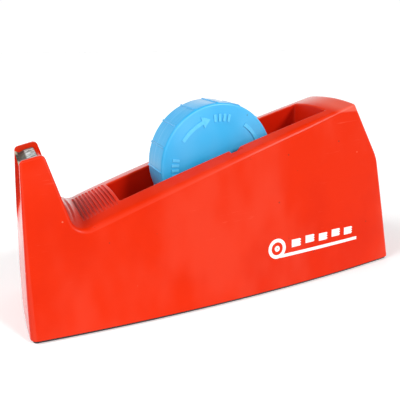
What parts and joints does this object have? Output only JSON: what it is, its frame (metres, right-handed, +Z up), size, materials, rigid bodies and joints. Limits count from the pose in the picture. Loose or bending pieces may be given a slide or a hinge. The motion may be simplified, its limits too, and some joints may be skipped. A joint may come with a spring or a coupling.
{
  "type": "tape dispenser",
  "caption": "Weighted desk tape dispenser: sloped bowed shell with an open well, an empty ribbed reel on a lift-out axle, grip grooves on the ramp and a serrated cutter between two cheeks.",
  "frame": {"origin": "on the surface the dispenser stands on, under the middle of its length and width", "axes": "+X from the cutter towards the tall tail, +Y across the width, +Z up"},
  "size_m": [0.2536, 0.0778, 0.1187],
  "materials": {
    "red_shell": "glossy satin moulded plastic, lightly worn",
    "blue_reel": "satin moulded plastic",
    "cutter_steel": "worn stamped sheet",
    "zinc_steel": "zinc plated",
    "white_nylon": "matt",
    "black_plate": "matt",
    "foam_rubber": "matt closed-cell foam",
    "ballast_iron": "as cast"
  },
  "bodies": {
    "shell": {"housing": "red_shell", "cutter_blade": "cutter_steel", "base_plate": "black_plate", "non_slip_pad": "foam_rubber", "floor_ballast": "ballast_iron", "tail_ballast": "ballast_iron", "base_screw_1": "zinc_steel", "base_screw_2": "zinc_steel", "base_screw_3": "zinc_steel", "base_screw_4": "zinc_steel", "base_screw_5": "zinc_steel", "base_screw_6": "zinc_steel"},
    "axle_set": {"axle": "zinc_steel", "axle_collar_near": "white_nylon", "axle_collar_far": "white_nylon"},
    "reel": {"reel_drum": "blue_reel", "reel_cover": "blue_reel"}
  },
  "joints": [
    {"name": "reel_lift_out", "type": "slide", "parent": "shell", "child": "axle_set", "axis": [0.5878, 0, 0.809], "range_m": [0, 0.09]},
    {"name": "reel_spin", "type": "hinge", "parent": "axle_set", "child": "reel", "pos_m": [-0.0057, 0, 0.08058], "axis": [0, 1, 0], "continuous": true}
  ]
}
